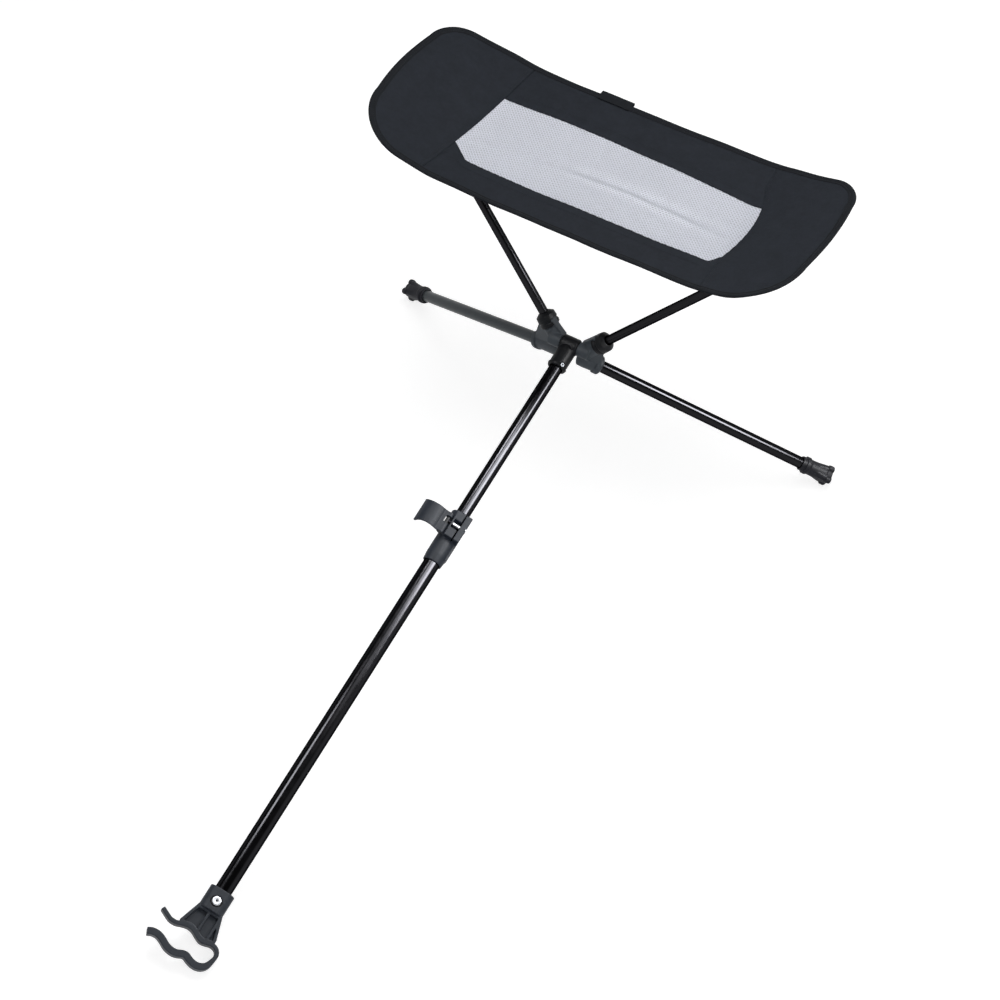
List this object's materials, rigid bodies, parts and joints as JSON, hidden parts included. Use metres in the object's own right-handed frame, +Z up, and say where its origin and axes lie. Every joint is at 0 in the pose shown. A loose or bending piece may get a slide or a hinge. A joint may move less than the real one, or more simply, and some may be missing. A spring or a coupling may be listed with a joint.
{
  "type": "clip-on telescoping camp chair footrest",
  "caption": "Fabric sling footrest on a folding leg frame, with a telescoping pole, a cam-lever lock and a double-seat clip for a camp chair's bar.",
  "frame": {"origin": "middle of the footprint's bounding box, on the ground", "axes": "+Z up, +Y from the chair clip towards the feet, +X along the sling to the sitter's right"},
  "size_m": [0.6004, 1.0016, 0.4463],
  "materials": {
    "gloss_tube": "gloss",
    "satin_tube": "satin",
    "hard_plastic": "satin",
    "dark_plastic": "satin",
    "rubber": "matt",
    "steel": "bright",
    "cloth": "matt",
    "tape": "matt",
    "mesh": "matt",
    "board": "matt"
  },
  "bodies": {
    "frame": {"hub_axle": "steel", "right_connector": "hard_plastic", "left_connector": "hard_plastic", "near_border": "cloth", "far_border": "cloth", "mesh_panel": "mesh", "right_wing": "cloth", "left_wing": "cloth", "right_wing_board": "board", "left_wing_board": "board", "right_wing_lining": "cloth", "left_wing_lining": "cloth", "edge_binding": "tape", "pull_tag": "tape", "right_arm": "gloss_tube", "left_arm": "gloss_tube", "right_arm_ring": "dark_plastic", "left_arm_ring": "dark_plastic", "right_arm_tip": "rubber", "left_arm_tip": "rubber", "right_arm_pocket": "cloth", "left_arm_pocket": "cloth"},
    "right_leg_set": {"right_leg": "gloss_tube", "right_foot": "rubber"},
    "left_leg_set": {"left_leg": "satin_tube", "left_foot": "rubber"},
    "inner_pole": {"pole_head": "dark_plastic", "head_screw": "steel", "inner_tube": "gloss_tube"},
    "bush": {"slide_bush": "dark_plastic"},
    "outer_pole": {"outer_tube": "gloss_tube", "lock_collar": "hard_plastic", "clamp_bolt": "steel", "clamp_nut": "steel", "lever_pin": "steel", "chair_clip": "hard_plastic", "clip_screw": "steel", "clip_nut": "steel"},
    "lever": {"cam_lever": "hard_plastic"}
  },
  "joints": [
    {"name": "frame_tilt", "type": "hinge", "parent": "frame", "child": "inner_pole", "pos_m": [0, 0.30842, 0.18893], "axis": [1, 0, 0], "range_deg": [-70, 30]},
    {"name": "pole_twist", "type": "hinge", "parent": "inner_pole", "child": "bush", "pos_m": [0, 0.30842, 0.18893], "axis": [0, -0.9778, -0.2096], "continuous": true},
    {"name": "telescope", "type": "slide", "parent": "bush", "child": "outer_pole", "axis": [0, -0.9778, -0.2096], "range_m": [-0.2, 0.12]},
    {"name": "lever_swing", "type": "hinge", "parent": "outer_pole", "child": "lever", "pos_m": [-0.00547, 0.04958, 0.15119], "axis": [0, -0.9778, -0.2096], "range_deg": [-8, 100]},
    {"name": "right_leg_pull", "type": "slide", "parent": "frame", "child": "right_leg_set", "axis": [0.8229, 0.3209, -0.4689], "range_m": [0, 0.022], "stiffness_N_per_m": 300, "springref_m": -0.05},
    {"name": "left_leg_pull", "type": "slide", "parent": "frame", "child": "left_leg_set", "axis": [-0.8229, 0.3209, -0.4689], "range_m": [0, 0.022], "stiffness_N_per_m": 300, "springref_m": -0.05}
  ]
}
